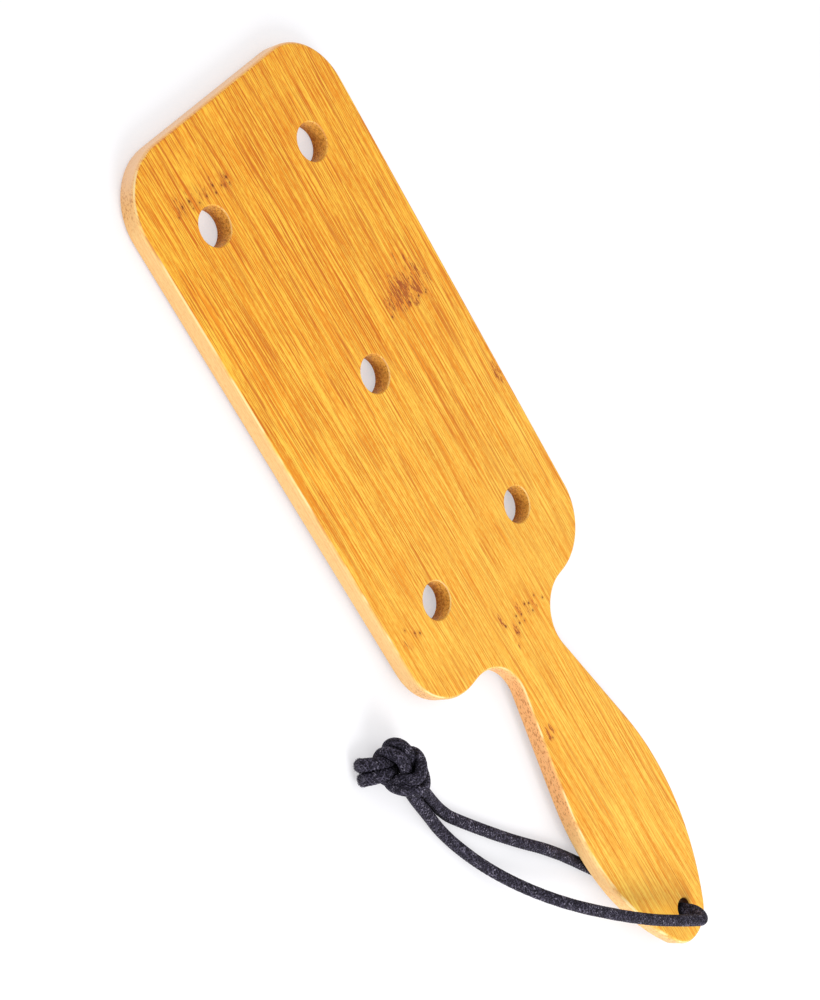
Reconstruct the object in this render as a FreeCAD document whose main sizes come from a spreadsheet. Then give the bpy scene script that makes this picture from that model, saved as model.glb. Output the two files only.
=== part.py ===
import FreeCAD, Part
import math
import os
from enum import IntEnum
import Sketcher
from FreeCAD import Placement, Rotation, Vector

# A narrow drilled paddle of five bamboo staves glued edge to edge, with a knotted wrist cord.
# Millimetres. X runs across the blade, Y along it towards the tip, Z up from the table.
# The tip's lower edge and the cord under the handle lie on the table, so the board leans a little.

SIZES = {
    "handle_length": 122.4,
    "blade_length": 177.8,
    "blade_width": 92.0,
    "board_thickness": 6.0,
    "tip_corner_radius": 18.5,
    "shoulder_flat": 2.7,
    "neck_width": 23.6,
    "neck_hollow_radius": 13.0,
    "handle_width": 44.0,
    "handle_swell_radius": 92.0,
    "handle_end_radius": 11.0,
    "edge_round": 1.2,
    "stave_width": 24.4,
    "centre_stave_off_axis": 3.3,
    "air_hole_diameter": 11.2,
    "air_hole_spacing_across": 46.8,
    "air_hole_spacing_along": 123.6,
    "cord_hole_diameter": 6.2,
    "cord_hole_from_end": 10.8,
    "hole_rim_bevel": 0.3,
    "cord_diameter": 3.5,
    "knotted_cord_diameter": 2.4,
    "cord_gap_on_table": 0.08,
    "cord_gap_under_handle": 0.4,
    "cord_crossing_from_end": 43.7,
}

doc = FreeCAD.newDocument("bamboo_paddle")
sheet = doc.addObject("Spreadsheet::Sheet", "sizes")
for row, (alias, value) in enumerate(SIZES.items(), start=1):
    sheet.set(f"A{row}", alias)
    sheet.set(f"B{row}", str(value))
    sheet.setAlias(f"B{row}", alias)
doc.recompute()


def size(alias):
    """The value of one size in the sheet."""
    return float(sheet.get(alias))


# Half of the board's length, from its middle to the tip or to the handle's end
HALF_LENGTH = "(sizes.blade_length + sizes.handle_length) / 2"


def half_length():
    """The same half length as a number."""
    return (size("blade_length") + size("handle_length")) / 2


def plane(body, role):
    """One of a body's own origin planes, by its role."""
    return next(f for f in body.Origin.OriginFeatures if f.Role == role)


def bound(sketch, constraint, name, expression):
    """Adds a constraint, names it and ties it to the sheet."""
    index = sketch.addConstraint(constraint)
    sketch.renameConstraint(index, name)
    sketch.setExpression(f"Constraints.{name}", expression)


def on_arc(centre, radius, angle):
    """The point of a circle at an angle in radians."""
    return centre + Vector(radius * math.cos(angle), radius * math.sin(angle), 0)


def outline_parts():
    """The right half of the outline from the tip to the handle's end, as lines and arcs.

    Blade corner, side, shoulder corner, shoulder, neck hollow, taper and swell, each tangent
    to the next. An arc is its centre, radius, start angle and end angle.
    """
    tip = half_length()
    half_blade = size("blade_width") / 2
    corner = size("tip_corner_radius")
    shoulder = tip - size("blade_length")
    hollow = size("neck_hollow_radius")
    swell = size("handle_swell_radius")
    end = size("handle_end_radius")
    end_centre = Vector(0, end - tip, 0)
    neck_centre = Vector(size("neck_width") / 2 + hollow, shoulder - hollow, 0)
    swell_x = size("handle_width") / 2 - swell
    swell_y = end_centre.y + math.sqrt((swell - end) ** 2 - swell_x ** 2)
    swell_centre = Vector(swell_x, swell_y, 0)
    # The shoulder corner takes the width that the neck, its hollow and the flat leave.
    flat_end = neck_centre.x + size("shoulder_flat")
    shoulder_corner = half_blade - flat_end
    shoulder_centre = Vector(flat_end, shoulder + shoulder_corner, 0)
    # The taper touches the neck hollow on one side and the swell on the other.
    apart = neck_centre - swell_centre
    taper = math.atan2(apart.y, apart.x) - math.acos((swell + hollow) / apart.Length)
    meets_end = math.atan2(end_centre.y - swell_centre.y, end_centre.x - swell_centre.x)
    corner_x = half_blade - corner
    return {
        "tip_corner": (Vector(corner_x, tip - corner, 0), corner, 0, math.pi / 2),
        "side": (Vector(half_blade, tip - corner, 0), Vector(half_blade, shoulder_centre.y, 0)),
        "shoulder_corner": (shoulder_centre, shoulder_corner, -math.pi / 2, 0),
        "shoulder": (Vector(flat_end, shoulder, 0), Vector(neck_centre.x, shoulder, 0)),
        "neck_hollow": (neck_centre, hollow, math.pi / 2, math.pi + taper),
        "taper": (on_arc(neck_centre, hollow, math.pi + taper), on_arc(swell_centre, swell, taper)),
        "swell": (swell_centre, swell, meets_end, taper),
        "end": (end_centre, end, math.pi - meets_end, 2 * math.pi + meets_end),
        "tip": (Vector(-corner_x, tip, 0), Vector(corner_x, tip, 0)),
    }


def mirrored(piece):
    """A line or arc of the right half, mirrored to the left half."""
    flip = Vector(-piece[0].x, piece[0].y, 0)
    if len(piece) == 2:
        return flip, Vector(-piece[1].x, piece[1].y, 0)
    return flip, piece[1], math.pi - piece[3], math.pi - piece[2]


def sketch_piece(sketch, piece):
    """Draws one line or arc in the sketch and gives its index."""
    if len(piece) == 2:
        return sketch.addGeometry(Part.LineSegment(*piece), False)
    centre, radius, start, finish = piece
    circle = Part.Circle(centre, Vector(0, 0, 1), radius)
    return sketch.addGeometry(Part.ArcOfCircle(circle, start, finish), False)


class At(IntEnum):
    """A point of a sketched piece, as the sketcher numbers it."""

    START = 1
    FINISH = 2
    CENTRE = 3


# The sketch's own origin
ORIGIN = (-1, At.START)
HALF = ("tip_corner", "side", "shoulder_corner", "shoulder", "neck_hollow", "taper", "swell")


def draw_outline(body):
    """The board's outline, fully constrained: 16 tangent lines and arcs."""
    sketch = body.newObject("Sketcher::SketchObject", "outline")
    sketch.AttachmentSupport = (plane(body, "XY_Plane"), "")
    sketch.MapMode = "FlatFace"
    parts = outline_parts()
    tip = sketch_piece(sketch, parts["tip"])
    end = sketch_piece(sketch, parts["end"])
    right = {name: sketch_piece(sketch, parts[name]) for name in HALF}
    left = {name: sketch_piece(sketch, mirrored(parts[name])) for name in HALF}

    def tangent(first, first_point, second, second_point):
        sketch.addConstraint(Sketcher.Constraint("Tangent", first, first_point, second, second_point))

    # Each arc runs anticlockwise, so the two halves join at opposite points.
    tangent(tip, At.FINISH, right["tip_corner"], At.FINISH)
    tangent(right["tip_corner"], At.START, right["side"], At.START)
    tangent(right["side"], At.FINISH, right["shoulder_corner"], At.FINISH)
    tangent(right["shoulder_corner"], At.START, right["shoulder"], At.START)
    tangent(right["shoulder"], At.FINISH, right["neck_hollow"], At.START)
    tangent(right["neck_hollow"], At.FINISH, right["taper"], At.START)
    tangent(right["taper"], At.FINISH, right["swell"], At.FINISH)
    tangent(right["swell"], At.START, end, At.FINISH)
    tangent(tip, At.START, left["tip_corner"], At.START)
    tangent(left["tip_corner"], At.FINISH, left["side"], At.START)
    tangent(left["side"], At.FINISH, left["shoulder_corner"], At.START)
    tangent(left["shoulder_corner"], At.FINISH, left["shoulder"], At.START)
    tangent(left["shoulder"], At.FINISH, left["neck_hollow"], At.FINISH)
    tangent(left["neck_hollow"], At.START, left["taper"], At.START)
    tangent(left["taper"], At.FINISH, left["swell"], At.START)
    tangent(left["swell"], At.FINISH, end, At.START)

    sketch.addConstraint(Sketcher.Constraint("Horizontal", tip))
    sketch.addConstraint(Sketcher.Constraint("PointOnObject", end, At.CENTRE, -2))
    bound(sketch, Sketcher.Constraint("DistanceY", *ORIGIN, tip, At.START, parts["tip"][0].y),
          "tip_height", HALF_LENGTH)
    bound(sketch, Sketcher.Constraint("DistanceY", end, At.CENTRE, *ORIGIN, -parts["end"][0].y),
          "end_depth", f"{HALF_LENGTH} - sizes.handle_end_radius")
    bound(sketch, Sketcher.Constraint("Radius", end, parts["end"][1]),
          "end_radius", "sizes.handle_end_radius")
    for side, index in (("right", right), ("left", left)):
        sketch.addConstraint(Sketcher.Constraint("Vertical", index["side"]))
        sketch.addConstraint(Sketcher.Constraint("Horizontal", index["shoulder"]))

        def across(geometry, point, distance, name, expression):
            ends = (*ORIGIN, geometry, point) if side == "right" else (geometry, point, *ORIGIN)
            if distance < 0:
                ends = ends[2:] + ends[:2]
            bound(sketch, Sketcher.Constraint("DistanceX", *ends, abs(distance)),
                  f"{name}_{side}", expression)

        across(index["side"], At.START, parts["side"][0].x, "half_blade", "sizes.blade_width / 2")
        across(index["neck_hollow"], At.CENTRE, parts["neck_hollow"][0].x, "hollow_centre",
               "sizes.neck_width / 2 + sizes.neck_hollow_radius")
        across(index["swell"], At.CENTRE, parts["swell"][0].x, "swell_centre",
               "sizes.handle_swell_radius - sizes.handle_width / 2")
        bound(sketch, Sketcher.Constraint("DistanceY", index["shoulder"], At.START, tip, At.START,
                                          size("blade_length")),
              f"blade_{side}", "sizes.blade_length")
        across(index["shoulder_corner"], At.CENTRE, parts["shoulder_corner"][0].x, "flat_end",
               "sizes.neck_width / 2 + sizes.neck_hollow_radius + sizes.shoulder_flat")
        for name, alias in (("tip_corner", "tip_corner_radius"),
                            ("neck_hollow", "neck_hollow_radius"),
                            ("swell", "handle_swell_radius")):
            bound(sketch, Sketcher.Constraint("Radius", index[name], parts[name][1]),
                  f"{name}_radius_{side}", f"sizes.{alias}")
    return sketch


def hole_places():
    """Centre, diameter's alias and expressions of the board's six holes."""
    tip = half_length()
    middle = tip - size("blade_length") / 2
    across = size("air_hole_spacing_across") / 2
    along = size("air_hole_spacing_along") / 2
    end = size("cord_hole_from_end") - tip
    air = "air_hole_diameter"
    return {
        "centre": (0, middle, air),
        "tip_left": (-across, middle + along, air),
        "tip_right": (across, middle + along, air),
        "grip_left": (-across, middle - along, air),
        "grip_right": (across, middle - along, air),
        "cord": (0, end, "cord_hole_diameter"),
    }


def drill_holes(body):
    """Six holes through the board: five air holes and the cord hole."""
    sketch = body.newObject("Sketcher::SketchObject", "hole_circles")
    sketch.AttachmentSupport = (plane(body, "XY_Plane"), "")
    sketch.MapMode = "FlatFace"
    middle = f"{HALF_LENGTH} - sizes.blade_length / 2"
    rows = {"centre": middle, "cord": f"{HALF_LENGTH} - sizes.cord_hole_from_end"}
    for end, sign in (("tip", "+"), ("grip", "-")):
        for side in ("left", "right"):
            rows[f"{end}_{side}"] = f"{middle} {sign} sizes.air_hole_spacing_along / 2"
    for name, (x, y, alias) in hole_places().items():
        circle = Part.Circle(Vector(x, y, 0), Vector(0, 0, 1), size(alias) / 2)
        index = sketch.addGeometry(circle, False)
        bound(sketch, Sketcher.Constraint("Diameter", index, size(alias)), f"{name}_diameter",
              f"sizes.{alias}")
        if x == 0:
            sketch.addConstraint(Sketcher.Constraint("PointOnObject", index, At.CENTRE, -2))
        else:
            ends = (*ORIGIN, index, At.CENTRE) if x > 0 else (index, At.CENTRE, *ORIGIN)
            bound(sketch, Sketcher.Constraint("DistanceX", *ends, abs(x)), f"{name}_across",
                  "sizes.air_hole_spacing_across / 2")
        ends = (*ORIGIN, index, At.CENTRE) if y > 0 else (index, At.CENTRE, *ORIGIN)
        row = rows[name] if name == "cord" or y > 0 else f"-({rows[name]})"
        bound(sketch, Sketcher.Constraint("DistanceY", *ends, abs(y)), f"{name}_along", row)
    pocket = body.newObject("PartDesign::Pocket", "holes")
    pocket.Profile = sketch
    pocket.Type = "ThroughAll"
    pocket.Reversed = True
    return pocket


def edges_where(shape, test):
    """Names of a shape's edges that pass a test."""
    return [f"Edge{i}" for i, edge in enumerate(shape.Edges, start=1) if test(edge)]


def build_blank():
    """The whole board before it is divided into staves, lying flat on its back."""
    body = doc.addObject("PartDesign::Body", "board_blank")
    pad = body.newObject("PartDesign::Pad", "slab")
    pad.Profile = draw_outline(body)
    pad.setExpression("Length", "sizes.board_thickness")
    doc.recompute()
    thickness = size("board_thickness")

    def on_a_face(edge):
        box = edge.BoundBox
        return box.ZLength < 1e-6 and min(abs(box.ZMin), abs(box.ZMin - thickness)) < 1e-6

    rounded = body.newObject("PartDesign::Fillet", "rounded_edges")
    rounded.Base = (pad, edges_where(pad.Shape, on_a_face))
    rounded.setExpression("Radius", "sizes.edge_round")
    doc.recompute()
    pocket = drill_holes(body)
    doc.recompute()

    def is_rim(edge):
        radii = [size("air_hole_diameter") / 2, size("cord_hole_diameter") / 2]
        return (on_a_face(edge) and edge.isClosed()
                and any(abs(edge.Curve.Radius - radius) < 1e-6 for radius in radii))

    bevel = body.newObject("PartDesign::Chamfer", "hole_rims")
    bevel.Base = (pocket, edges_where(pocket.Shape, is_rim))
    bevel.setExpression("Size", "sizes.hole_rim_bevel")
    doc.recompute()
    return body


# Five staves wide. The neck cuts the fourth one through, which leaves its end on the handle as
# a piece of its own.
STAVES = {
    "left_edge_stave": (0, "blade"),
    "left_stave": (1, "whole"),
    "centre_stave": (2, "whole"),
    "right_stave": (3, "blade"),
    "right_handle_stave": (3, "handle"),
    "right_edge_stave": (4, "blade"),
}


def stave_band(index):
    """Left face and width of one stave's band, as expressions of the sheet."""
    edge = "sizes.blade_width / 2"
    seam = f"sizes.centre_stave_off_axis + {index - 2.5} * sizes.stave_width"
    if index == 0:
        next_seam = f"sizes.centre_stave_off_axis + {index - 1.5} * sizes.stave_width"
        return f"-{edge}", f"{next_seam} + {edge}"
    if index == 4:
        return seam, f"{edge} - ({seam})"
    return seam, "sizes.stave_width"


def stave_reach(part):
    """Lower end and length of a stave's band, as expressions of the sheet."""
    handle_end = f"-{HALF_LENGTH}"
    neck = f"{HALF_LENGTH} - sizes.blade_length - sizes.neck_hollow_radius"
    if part == "blade":
        return neck, "sizes.blade_length + sizes.neck_hollow_radius"
    if part == "handle":
        return handle_end, "sizes.handle_length - sizes.neck_hollow_radius"
    return handle_end, "sizes.blade_length + sizes.handle_length"


def lean():
    """How the board leans on its tip and on the cord under its handle."""
    rounding = size("edge_round")
    half = half_length()
    reach = 2 * half - rounding - size("cord_crossing_from_end")
    prop = size("cord_gap_on_table") + size("cord_diameter") + size("cord_gap_under_handle")
    angle = math.asin(prop / reach)
    lift = (half - rounding) * math.sin(angle) - rounding * (1 - math.cos(angle))
    shift = -size("board_thickness") * math.sin(angle) / 2
    return Placement(Vector(0, shift, lift), Rotation(Vector(1, 0, 0), -math.degrees(angle)))


def build_staves(blank, placement):
    """The staves with their flat glue faces, cut from the blank."""
    staves = []
    for label, (index, part) in STAVES.items():
        left, width = stave_band(index)
        lower_end, length = stave_reach(part)
        band = doc.addObject("Part::Box", f"{label}_band")
        band.setExpression("Length", width)
        band.setExpression("Width", length)
        band.setExpression("Height", "sizes.board_thickness")
        band.setExpression("Placement.Base.x", left)
        band.setExpression("Placement.Base.y", lower_end)
        stave = doc.addObject("Part::Common", label)
        stave.Base = band
        stave.Tool = blank
        stave.Label = label
        stave.Placement = placement
        staves.append(stave)
    doc.recompute()
    return staves


# The cord, one length tied to itself: up through the cord hole, over the handle to the knot,
# and back from the knot under the handle. Its points are chosen by hand.
CORD_ON_TABLE = size("cord_diameter") / 2 + size("cord_gap_on_table")

# The knot's own frame: its centre on the table's side of the blade, and three square directions.
# Across points from the tails to the collar, along points to the top of its arcs, and front
# points out of the face that shows the arcs. Its points are in cord diameters.
KNOT_CENTRE = Vector(-64.8, -26.7, 2.4 * size("cord_diameter"))
KNOT_ACROSS = Vector(0.513, -0.462, 0.723)
KNOT_ALONG = Vector(0.577, 0.809, 0.108)
KNOT_FRONT = Vector(-0.635, 0.362, 0.683)


def in_knot(across, along, front):
    """A point of the knot's frame, given in cord diameters."""
    place = KNOT_ACROSS * across + KNOT_ALONG * along + KNOT_FRONT * front
    return KNOT_CENTRE + place * size("cord_diameter")


HOLE_MIDDLE = Vector(0, -139.4, 7.3)
OVER_COLLAR = in_knot(0.72, -2.5, -1.5)
UNDER_COLLAR = in_knot(1.82, -2.55, -2.65)
OVER_HANDLE = [
    HOLE_MIDDLE,
    Vector(0, -139.4, 10.8),
    Vector(0.7, -141.2, 14.4),
    Vector(-2.3, -141.8, 17.8),
    Vector(-6.4, -138.2, 18.8),
    Vector(-12.8, -132.2, 18.0),
    Vector(-20.6, -124.6, 17.2),
    Vector(-31.0, -112.6, 15.0),
    Vector(-40.8, -99.4, 10.6),
    Vector(-48.2, -86.2, 6.0),
    Vector(-53.8, -73.4, 2.8),
    Vector(-58.2, -61.2, CORD_ON_TABLE),
    Vector(-60.8, -52.6, CORD_ON_TABLE),
    in_knot(1.86, -4.44, -3.6),
    in_knot(1.22, -3.45, -2.5),
    OVER_COLLAR,
]
UNDER_HANDLE = [
    HOLE_MIDDLE,
    Vector(0, -139.4, 4.2),
    Vector(-1.2, -137.25, CORD_ON_TABLE),
    Vector(-4.0, -132.0, CORD_ON_TABLE),
    Vector(-9.0, -122.0, CORD_ON_TABLE),
    Vector(-17.4, -107.4, CORD_ON_TABLE),
    Vector(-27.6, -90.6, CORD_ON_TABLE),
    Vector(-38.8, -76.6, CORD_ON_TABLE),
    Vector(-48.6, -62.6, CORD_ON_TABLE),
    Vector(-54.4, -53.8, CORD_ON_TABLE),
    in_knot(3.3, -4.42, -5.5),
    in_knot(2.54, -3.66, -4.4),
    UNDER_COLLAR,
]

# The doubled overhand: each strand goes up inside the collar, over the arcs and down the left,
# comes round as the collar, climbs the right side and leaves behind the arcs as a tail.
INNER_STRAND = [
    OVER_COLLAR,
    in_knot(0.23, -1.569, -0.52),
    in_knot(0.15, -0.5, 0.15),
    in_knot(0.0, 0.4, 0.8),
    in_knot(-0.45, 1.15, 0.95),
    in_knot(-1.15, 1.4, 0.5),
    in_knot(-1.85, 1.1, -0.35),
    in_knot(-2.1, 0.35, -0.65),
    in_knot(-1.95, -0.45, -0.65),
    in_knot(-1.5, -1.0, -0.3),
    in_knot(-0.8, -1.05, 0.3),
    in_knot(0.0, -0.95, 1.0),
    in_knot(0.95, -0.85, 1.05),
    in_knot(1.5, -0.2, 0.75),
    in_knot(1.55, 0.4, 0.0),
    in_knot(1.2, 1.0, -0.55),
    in_knot(0.65, 0.95, -0.8),
    in_knot(0.1, 0.5, -0.75),
    in_knot(-0.4, 0.1, -0.45),
    in_knot(-0.95, -0.2, 0.15),
    in_knot(-1.6, -0.5, 0.75),
    in_knot(-2.4, -0.8, 0.95),
    in_knot(-3.5, -1.05, 1.1),
]
OUTER_STRAND = [
    UNDER_COLLAR,
    in_knot(1.46, -1.995, -1.775),
    in_knot(0.85, -0.65, -0.85),
    in_knot(0.72, 0.2, -0.15),
    in_knot(0.65, 1.0, 0.55),
    in_knot(0.15, 1.85, 0.8),
    in_knot(-0.75, 2.15, 0.3),
    in_knot(-1.4, 1.7, -0.8),
    in_knot(-1.15, 0.75, -1.5),
    in_knot(-1.05, -0.3, -1.5),
    in_knot(-1.2, -1.2, -1.2),
    in_knot(-0.95, -1.85, -0.45),
    in_knot(-0.1, -1.95, 0.25),
    in_knot(0.8, -1.85, 0.35),
    in_knot(1.5, -1.35, 0.0),
    in_knot(1.75, -0.5, -0.6),
    in_knot(1.45, 0.35, -1.25),
    in_knot(0.8, 1.2, -1.85),
    in_knot(0.1, 1.6, -1.45),
    in_knot(-0.5, 1.0, -0.6),
    in_knot(-1.15, 0.5, 0.35),
    in_knot(-2.3, 0.4, 0.9),
    in_knot(-3.8, 0.34, 1.2),
]


def tangent_path(points):
    """Straight runs joined by tangent arcs, as one wire, and the arcs' radii."""
    edges = []
    radii = []
    at = points[0]
    for before, corner, after in zip(points, points[1:], points[2:]):
        incoming = (corner - before)
        outgoing = (after - corner)
        shorter = min(incoming.Length, outgoing.Length)
        setback = 0.45 * shorter
        turn = incoming.getAngle(outgoing)
        radii.append(setback / math.tan(turn / 2))
        unit_in = Vector(incoming).normalize()
        unit_out = Vector(outgoing).normalize()
        first = corner - unit_in * setback
        last = corner + unit_out * setback
        towards_centre = (unit_out - unit_in).normalize()
        reach = radii[-1] / math.cos(turn / 2)
        middle = corner + towards_centre * (reach - radii[-1])
        edges.append(Part.LineSegment(at, first).toShape())
        edges.append(Part.Arc(first, middle, last).toShape())
        at = last
    edges.append(Part.LineSegment(at, points[-1]).toShape())
    return Part.Wire(edges), radii


# The cord's section has flat sides, so that the knot stays light.
CORD_SIDES = 10


def cord_section(at, direction, diameter):
    """A ring of equal straight sides square to the cord, with the area of its round section."""
    turn = 2 * math.pi / CORD_SIDES
    corner = diameter / 2 * math.sqrt(turn / math.sin(turn))
    facing = Rotation(Vector(0, 0, 1), direction)
    angles = [turn * (side + 0.5) for side in range(CORD_SIDES)]
    ring = [at + facing * Vector(corner * math.cos(a), corner * math.sin(a), 0) for a in angles]
    return Part.makePolygon(ring + ring[:1])


def build_cord(label, points, alias="cord_diameter"):
    """A cord along a route of points."""
    diameter = size(alias)
    path, radii = tangent_path(points)
    section = cord_section(points[0], points[1] - points[0], diameter)
    tube = path.makePipeShell([section], True, False)
    expected = math.pi * diameter ** 2 / 4 * path.Length
    print(f"{label}: length {path.Length:.1f}, least radius {min(radii):.2f},",
          f"volume {tube.Volume:.1f} of {expected:.1f}")
    print("  radii", " ".join(f"{radius:.1f}" for radius in radii))
    cord = doc.addObject("Part::Feature", label)
    cord.Label = label
    cord.Shape = tube
    cord.Placement = Placement()
    return cord


def main():
    blank = build_blank()
    parts = build_staves(blank, lean())
    parts.append(build_cord("cord_over_handle", OVER_HANDLE))
    parts.append(build_cord("cord_under_handle", UNDER_HANDLE))
    parts.append(build_cord("knot_inner_strand", INNER_STRAND, "knotted_cord_diameter"))
    parts.append(build_cord("knot_outer_strand", OUTER_STRAND, "knotted_cord_diameter"))
    doc.recompute()
    for thing in doc.Objects:
        if any(word in thing.State for word in ("Invalid", "Error")):
            raise RuntimeError(f"{thing.Name} failed: {thing.State}")
    for part in parts:
        shape = part.Shape
        if shape.isNull() or not shape.isValid() or len(shape.Solids) != 1:
            raise RuntimeError(f"{part.Label} is not one valid solid")
    os.makedirs("parts", exist_ok=True)
    for part in parts:
        part.Shape.exportStep(f"parts/{part.Label}.step")
        box = part.Shape.optimalBoundingBox(True, False)
        print(part.Label, f"{part.Shape.Volume:.1f}", f"z {box.ZMin:.3f} to {box.ZMax:.3f}",
              f"y {box.YMin:.2f} to {box.YMax:.2f}", f"x {box.XMin:.2f} to {box.XMax:.2f}")


main()
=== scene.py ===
import math
import random

import bpy
import numpy as np
from mathutils import Matrix, Vector


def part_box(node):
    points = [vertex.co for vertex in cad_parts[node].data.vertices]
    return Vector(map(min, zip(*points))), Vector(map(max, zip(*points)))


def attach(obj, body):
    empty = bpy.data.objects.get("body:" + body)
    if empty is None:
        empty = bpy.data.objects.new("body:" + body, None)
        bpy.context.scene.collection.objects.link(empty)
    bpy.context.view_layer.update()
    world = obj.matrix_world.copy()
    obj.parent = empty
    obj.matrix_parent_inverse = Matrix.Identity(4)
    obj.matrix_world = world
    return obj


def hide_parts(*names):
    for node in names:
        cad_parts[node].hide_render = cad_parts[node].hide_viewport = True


# A bamboo paddle of glued staves with a knotted wrist cord, on a pale floor.
# Metres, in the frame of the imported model: X across the blade, Y to the tip, Z up.
# The places of knuckles, holes and the cord's route are in millimetres of the same frame.
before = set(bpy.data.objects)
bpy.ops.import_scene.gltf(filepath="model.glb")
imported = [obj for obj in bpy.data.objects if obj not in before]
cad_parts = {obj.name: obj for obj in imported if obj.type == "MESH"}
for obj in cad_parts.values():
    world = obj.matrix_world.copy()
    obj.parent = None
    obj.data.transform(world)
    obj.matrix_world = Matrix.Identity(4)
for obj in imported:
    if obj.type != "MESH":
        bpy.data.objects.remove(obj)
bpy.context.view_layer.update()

MM = 0.001
IN_MM = (1 / MM, 1 / MM, 1 / MM)

# Node helper

class Nodes:
    """Adds shader nodes to a material and links them."""

    def __init__(self, material):
        material.use_nodes = True
        self.tree = material.node_tree
        self.shader = self.tree.nodes["Principled BSDF"]

    def add(self, kind, settings=None, **inputs):
        """A node with its properties and inputs set; an input is a value or a socket."""
        node = self.tree.nodes.new(kind)
        for name, value in (settings or {}).items():
            setattr(node, name, value)
        for name, value in inputs.items():
            self.set(node.inputs[name.replace("_", " ")], value)
        return node

    def set(self, socket, value):
        """Links a socket, or sets its value."""
        if isinstance(value, bpy.types.NodeSocket):
            self.tree.links.new(value, socket)
        else:
            socket.default_value = value

    def maths(self, operation, first, second=0.0, clamp=False):
        """One step of arithmetic on one or two numbers."""
        node = self.add("ShaderNodeMath", {"operation": operation, "use_clamp": clamp})
        self.set(node.inputs[0], first)
        self.set(node.inputs[1], second)
        return node.outputs[0]

    def ramp(self, value, low, high, start=0.0, finish=1.0):
        """Maps low..high smoothly to start..finish."""
        node = self.add("ShaderNodeMapRange", {"interpolation_type": "SMOOTHSTEP"})
        for name, number in (("Value", value), ("From Min", low), ("From Max", high),
                             ("To Min", start), ("To Max", finish)):
            self.set(node.inputs[name], number)
        return node.outputs[0]

    def mix(self, amount, first, second, blend="MIX"):
        """The first colour at 0, the second at 1."""
        node = self.add("ShaderNodeMix", {"data_type": "RGBA", "blend_type": blend})
        self.set(node.inputs["Factor"], amount)
        self.set(node.inputs["A"], first)
        self.set(node.inputs["B"], second)
        return node.outputs["Result"]

    def stretched(self, place, scale, offset=(0, 0, 0)):
        """A place scaled along its three axes, then moved."""
        node = self.add("ShaderNodeVectorMath", {"operation": "MULTIPLY_ADD"})
        self.set(node.inputs[0], place)
        node.inputs[1].default_value = scale
        node.inputs[2].default_value = offset
        return node.outputs[0]

    def noise(self, place, detail=2.0, roughness=0.5):
        """A smooth noise from 0 to 1, about one swell to a unit of the place."""
        node = self.add("ShaderNodeTexNoise", Vector=place, Scale=1.0, Detail=detail,
                        Roughness=roughness)
        return node.outputs["Fac"]

    def distance_to(self, place, point):
        """Distance from a place to a fixed point."""
        node = self.add("ShaderNodeVectorMath", {"operation": "DISTANCE"})
        self.set(node.inputs[0], place)
        node.inputs[1].default_value = point
        return node.outputs["Value"]

    def surface_bump(self, height, distance, strength):
        """Fine relief from a height of 0 to 1."""
        node = self.add("ShaderNodeBump", Height=height, Distance=distance, Strength=strength)
        self.tree.links.new(node.outputs["Normal"], self.shader.inputs["Normal"])


def rgb(red, green, blue):
    """A display colour in 0 to 255 as a linear colour."""
    def linear(value):
        value /= 255
        return value / 12.92 if value <= 0.04045 else ((value + 0.055) / 1.055) ** 2.4
    return linear(red), linear(green), linear(blue), 1.0


# Camera and light

CAMERA_PLACE = (-0.397586, 0.246711, 0.421334)
CAMERA_RIGHT = (0.513435, -0.461885, 0.723220)
CAMERA_UP = (0.577410, 0.809411, 0.107010)
CAMERA_BACK = (-0.634809, 0.362652, 0.682277)
FOCAL_LENGTH = 77.91
SENSOR_WIDTH = 36
FLOOR_HALF_WIDTH = 3.0
# The floor's white for the light it returns, and its colour and glow where it is seen
FLOOR_WHITE = (0.80, 0.80, 0.81, 1)
FLOOR_SEEN = (0.50, 0.505, 0.52, 1)
FLOOR_GLOW = (0.98, 0.97, 1.0, 1)
FLOOR_GLOW_SEEN = 0.50
WORLD_WHITE = (1.0, 0.995, 0.985, 1)
# The surroundings' strength as light, and where they are seen
WORLD_LEVEL = 0.88
WORLD_LEVEL_SEEN = 1.0


def add_camera():
    """The photograph's viewpoint, rolled so that the handle points down to the right."""
    turn = Matrix((CAMERA_RIGHT, CAMERA_UP, CAMERA_BACK)).transposed().to_4x4()
    data = bpy.data.cameras.new("camera")
    data.lens = FOCAL_LENGTH
    data.sensor_width = SENSOR_WIDTH
    camera = bpy.data.objects.new("camera", data)
    bpy.context.scene.collection.objects.link(camera)
    camera.matrix_world = Matrix.Translation(CAMERA_PLACE) @ turn
    bpy.context.scene.camera = camera


def add_light(name, direction, distance, width, power):
    """A soft square light that looks at the middle of the paddle."""
    data = bpy.data.lights.new(name, "AREA")
    data.shape = "SQUARE"
    data.size = width
    data.energy = power
    light = bpy.data.objects.new(name, data)
    bpy.context.scene.collection.objects.link(light)
    towards = Vector(direction).normalized()
    turn = towards.to_track_quat("Z", "Y").to_matrix().to_4x4()
    light.matrix_world = Matrix.Translation(towards * distance) @ turn


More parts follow.
